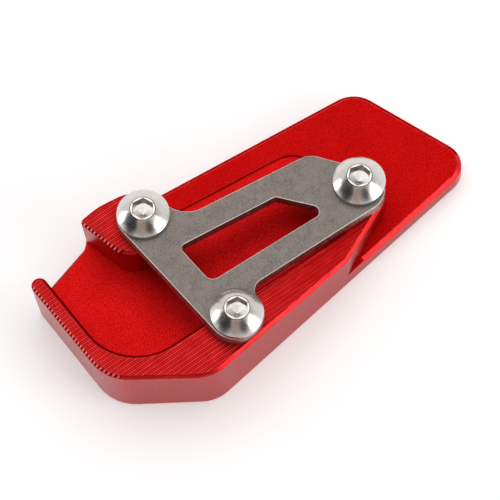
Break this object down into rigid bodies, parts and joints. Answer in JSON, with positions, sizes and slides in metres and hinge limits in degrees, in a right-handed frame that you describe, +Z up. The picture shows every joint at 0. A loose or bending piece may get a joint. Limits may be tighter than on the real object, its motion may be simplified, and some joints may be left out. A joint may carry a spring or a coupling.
{
  "type": "kickstand foot enlarger pad",
  "caption": "Milled pad that widens a motorcycle side stand's foot: walled pocket for the foot, thin wing to one side, and a screwed-down clamp plate.",
  "frame": {"origin": "middle of the footprint's bounding box, on the ground face", "axes": "+X along the long front edge towards the thin wing, +Y towards the back, +Z up from the ground"},
  "size_m": [0.085, 0.0426, 0.0209],
  "materials": {
    "anodised_base": "bright red anodising over fine bead blasting, milled lines on the sloping tops",
    "stainless_sheet": "matt mill-finish stainless sheet",
    "stainless_screw": "polished stainless steel"
  },
  "bodies": {
    "base": {"base_plate": "anodised_base"},
    "clamp": {"clamp_plate": "stainless_sheet"},
    "left_screw": {"screw_left": "stainless_screw"},
    "right_screw": {"screw_right": "stainless_screw"},
    "front_screw": {"screw_front": "stainless_screw"}
  },
  "joints": [
    {"name": "clamp_lift", "type": "slide", "parent": "base", "child": "clamp", "axis": [0.0884, 0.0269, 0.9957], "range_m": [0, 0.012]},
    {"name": "left_screw_out", "type": "slide", "parent": "clamp", "child": "left_screw", "axis": [0.0884, 0.0269, 0.9957], "range_m": [0, 0.012]},
    {"name": "right_screw_out", "type": "slide", "parent": "clamp", "child": "right_screw", "axis": [0.0884, 0.0269, 0.9957], "range_m": [0, 0.012]},
    {"name": "front_screw_out", "type": "slide", "parent": "clamp", "child": "front_screw", "axis": [0.0884, 0.0269, 0.9957], "range_m": [0, 0.012]}
  ]
}
